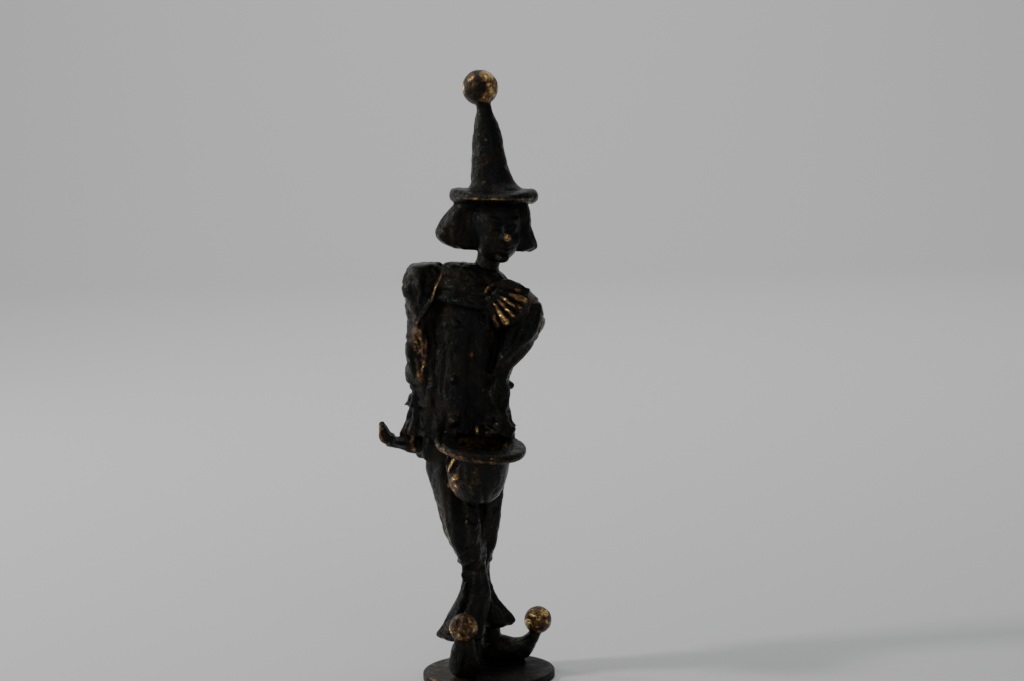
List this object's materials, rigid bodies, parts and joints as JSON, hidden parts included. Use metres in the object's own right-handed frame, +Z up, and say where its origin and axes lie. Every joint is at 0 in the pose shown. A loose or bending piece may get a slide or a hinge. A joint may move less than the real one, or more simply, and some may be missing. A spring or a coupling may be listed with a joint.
{
  "type": "clown figurine",
  "caption": "Small cast bronze of a standing clown in a tall pointed hat and ruffled costume, with an upturned hat held out in front, on a thin round disc.",
  "frame": {"origin": "centre of the disc's underside", "axes": "+Z up, along the figure's height; the clown faces -Y"},
  "size_m": [0.0439, 0.041, 0.1591],
  "materials": {
    "bronze_patina": "near-black patina, semi-gloss, rubbed to bright gold on the raised parts",
    "disc_patina": "near-black patina, semi-gloss, with a few rubbed flecks on the rim"
  },
  "bodies": {
    "root": {"clown_figure": "bronze_patina", "base_disc": "disc_patina"}
  },
  "joints": []
}
